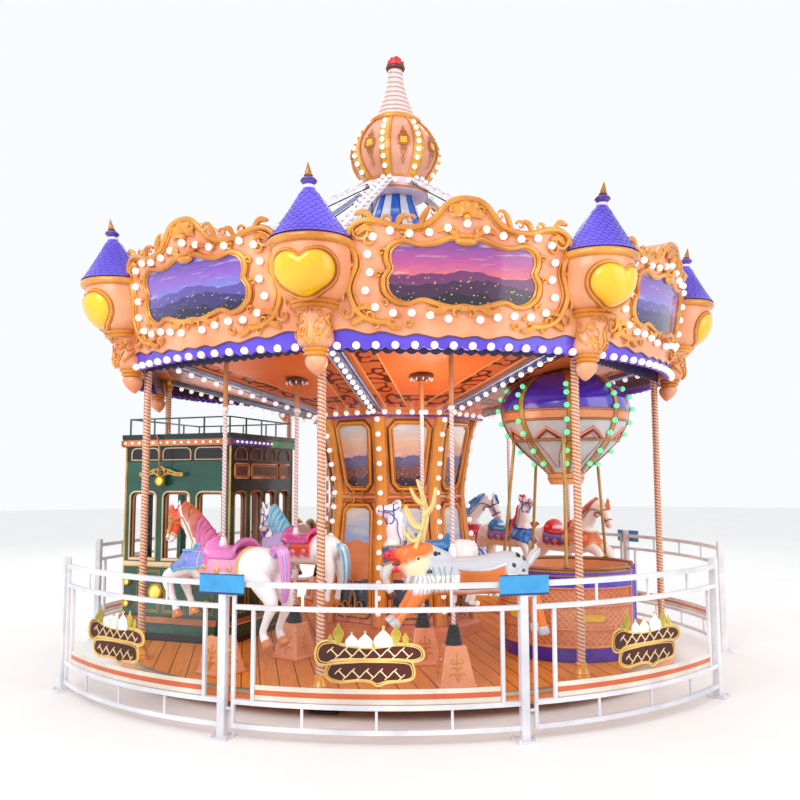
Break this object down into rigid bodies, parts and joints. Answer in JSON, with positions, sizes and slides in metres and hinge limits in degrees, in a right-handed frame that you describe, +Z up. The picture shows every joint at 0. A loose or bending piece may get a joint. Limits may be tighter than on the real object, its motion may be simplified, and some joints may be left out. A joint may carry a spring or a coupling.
{
  "type": "fairground carousel",
  "caption": "Fairground carousel with horses, a reindeer, a tram car and a balloon gondola under an octagonal canopy, inside a ring fence.",
  "frame": {"origin": "on the ground, on the axis of the turntable, at the centre of the underside of the base frame", "axes": "+Z up along the turntable's axis; -Y faces the front cornice panel and +X is to the right seen from there"},
  "size_m": [6.3041, 6.4762, 6.19],
  "materials": {
    "painted_steel": "satin dark grey paint on steel",
    "white_steel": "gloss white powder coat on square steel tube, with a clear infill sheet",
    "plaque_board": "dark brown moulded board with a gold edge",
    "deck_boards": "varnished orange-brown boards",
    "orange_fibreglass": "gloss orange painted fibreglass with gilt trim",
    "peach_fibreglass": "gloss peach painted fibreglass with gilt ornament",
    "tent_cloth": "blue and white painted roof shell",
    "balloon_shell": "gloss purple, orange and grey painted fibreglass",
    "brass_tube": "polished brass tube",
    "tram_green": "dark green gloss paint with cream and gilt lining",
    "gilt_column": "pink, white and gold twisted column",
    "animal_fibreglass": "gloss hand-painted fibreglass in many colours"
  },
  "bodies": {
    "ground": {"base_frame": "painted_steel", "slewing_bearing": "painted_steel", "fence_front_1": "white_steel", "fence_front_2": "white_steel", "fence_front_3": "white_steel", "fence_back_1": "white_steel", "fence_back_2": "white_steel", "fence_back_3": "white_steel", "fence_back_4": "white_steel", "fence_back_5": "white_steel", "plaque_1": "plaque_board", "plaque_2": "plaque_board", "plaque_3": "plaque_board"},
    "turntable": {"platform_deck": "deck_boards", "centre_core": "orange_fibreglass", "ceiling": "orange_fibreglass", "roof_tent": "tent_cloth", "mast_and_crown": "peach_fibreglass", "spire": "peach_fibreglass", "cornice_panel_1": "peach_fibreglass", "cornice_panel_2": "peach_fibreglass", "cornice_panel_3": "peach_fibreglass", "cornice_panel_4": "peach_fibreglass", "cornice_panel_5": "peach_fibreglass", "cornice_panel_6": "peach_fibreglass", "cornice_panel_7": "peach_fibreglass", "cornice_panel_8": "peach_fibreglass", "turret_1": "peach_fibreglass", "turret_2": "peach_fibreglass", "turret_3": "peach_fibreglass", "turret_4": "peach_fibreglass", "turret_5": "peach_fibreglass", "turret_6": "peach_fibreglass", "turret_7": "peach_fibreglass", "turret_8": "peach_fibreglass", "outer_column_1": "gilt_column", "outer_column_2": "gilt_column", "outer_column_3": "gilt_column", "outer_column_4": "gilt_column", "outer_column_5": "gilt_column", "outer_column_6": "gilt_column", "outer_column_7": "gilt_column", "outer_column_8": "gilt_column", "balloon": "balloon_shell", "balloon_frame": "brass_tube", "gondola_basket": "orange_fibreglass", "tram_car": "tram_green"},
    "reindeer_rider": {"reindeer": "animal_fibreglass"},
    "horse_inner_1_rider": {"horse_inner_1": "animal_fibreglass"},
    "horse_outer_2_rider": {"horse_outer_2": "animal_fibreglass"},
    "horse_inner_2_rider": {"horse_inner_2": "animal_fibreglass"},
    "horse_outer_3_rider": {"horse_outer_3": "animal_fibreglass"},
    "horse_inner_3_rider": {"horse_inner_3": "animal_fibreglass"},
    "horse_outer_4_rider": {"horse_outer_4": "animal_fibreglass"},
    "horse_inner_4_rider": {"horse_inner_4": "animal_fibreglass"},
    "horse_outer_5_rider": {"horse_outer_5": "animal_fibreglass"},
    "horse_inner_5_rider": {"horse_inner_5": "animal_fibreglass"}
  },
  "joints": [
    {"name": "turntable_spin", "type": "hinge", "parent": "ground", "child": "turntable", "pos_m": [0, 0, 0.06], "axis": [0, 0, -1], "continuous": true},
    {"name": "reindeer_gallop", "type": "slide", "parent": "turntable", "child": "reindeer_rider", "axis": [0, 0, 1], "range_m": [-0.1, 0.1]},
    {"name": "horse_inner_1_gallop", "type": "slide", "parent": "turntable", "child": "horse_inner_1_rider", "axis": [0, 0, 1], "range_m": [-0.13, 0.07]},
    {"name": "horse_outer_2_gallop", "type": "slide", "parent": "turntable", "child": "horse_outer_2_rider", "axis": [0, 0, 1], "range_m": [-0.13, 0.07]},
    {"name": "horse_inner_2_gallop", "type": "slide", "parent": "turntable", "child": "horse_inner_2_rider", "axis": [0, 0, 1], "range_m": [-0.17, 0.03]},
    {"name": "horse_outer_3_gallop", "type": "slide", "parent": "turntable", "child": "horse_outer_3_rider", "axis": [0, 0, 1], "range_m": [-0.1, 0.1]},
    {"name": "horse_inner_3_gallop", "type": "slide", "parent": "turntable", "child": "horse_inner_3_rider", "axis": [0, 0, 1], "range_m": [-0.13, 0.07]},
    {"name": "horse_outer_4_gallop", "type": "slide", "parent": "turntable", "child": "horse_outer_4_rider", "axis": [0, 0, 1], "range_m": [-0.13, 0.07]},
    {"name": "horse_inner_4_gallop", "type": "slide", "parent": "turntable", "child": "horse_inner_4_rider", "axis": [0, 0, 1], "range_m": [-0.17, 0.03]},
    {"name": "horse_outer_5_gallop", "type": "slide", "parent": "turntable", "child": "horse_outer_5_rider", "axis": [0, 0, 1], "range_m": [-0.1, 0.1]},
    {"name": "horse_inner_5_gallop", "type": "slide", "parent": "turntable", "child": "horse_inner_5_rider", "axis": [0, 0, 1], "range_m": [-0.13, 0.07]}
  ]
}
